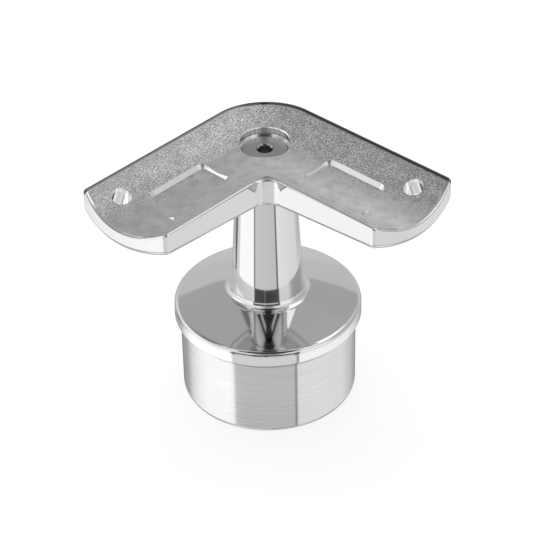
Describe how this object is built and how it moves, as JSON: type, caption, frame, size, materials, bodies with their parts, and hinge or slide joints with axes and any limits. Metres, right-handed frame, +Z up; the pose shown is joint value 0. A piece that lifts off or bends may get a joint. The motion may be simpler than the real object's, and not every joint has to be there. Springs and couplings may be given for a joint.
{
  "type": "handrail corner saddle",
  "caption": "Cast stainless corner saddle: a hollowed L plate carries the mitred corner of a round rail, screwed on a tapered stem whose spigot cap closes a tubular post",
  "frame": {"origin": "on the post's axis, at the lower end of the spigot", "axes": "Z up along the post's axis; the plate's arms run to -X -Y and +X -Y at 45 degrees, so that the corner points to +Y and X lies across both arms"},
  "size_m": [0.0756, 0.059, 0.068],
  "materials": {
    "plate_steel": "matte cast seat, mirror-polished edge and underside",
    "cap_steel": "mirror-polished stainless, spigot left as turned",
    "screw_steel": "plain stainless, as machined"
  },
  "bodies": {
    "root": {"saddle_plate": "plate_steel", "post_cap": "cap_steel", "saddle_screw": "screw_steel"}
  },
  "joints": []
}
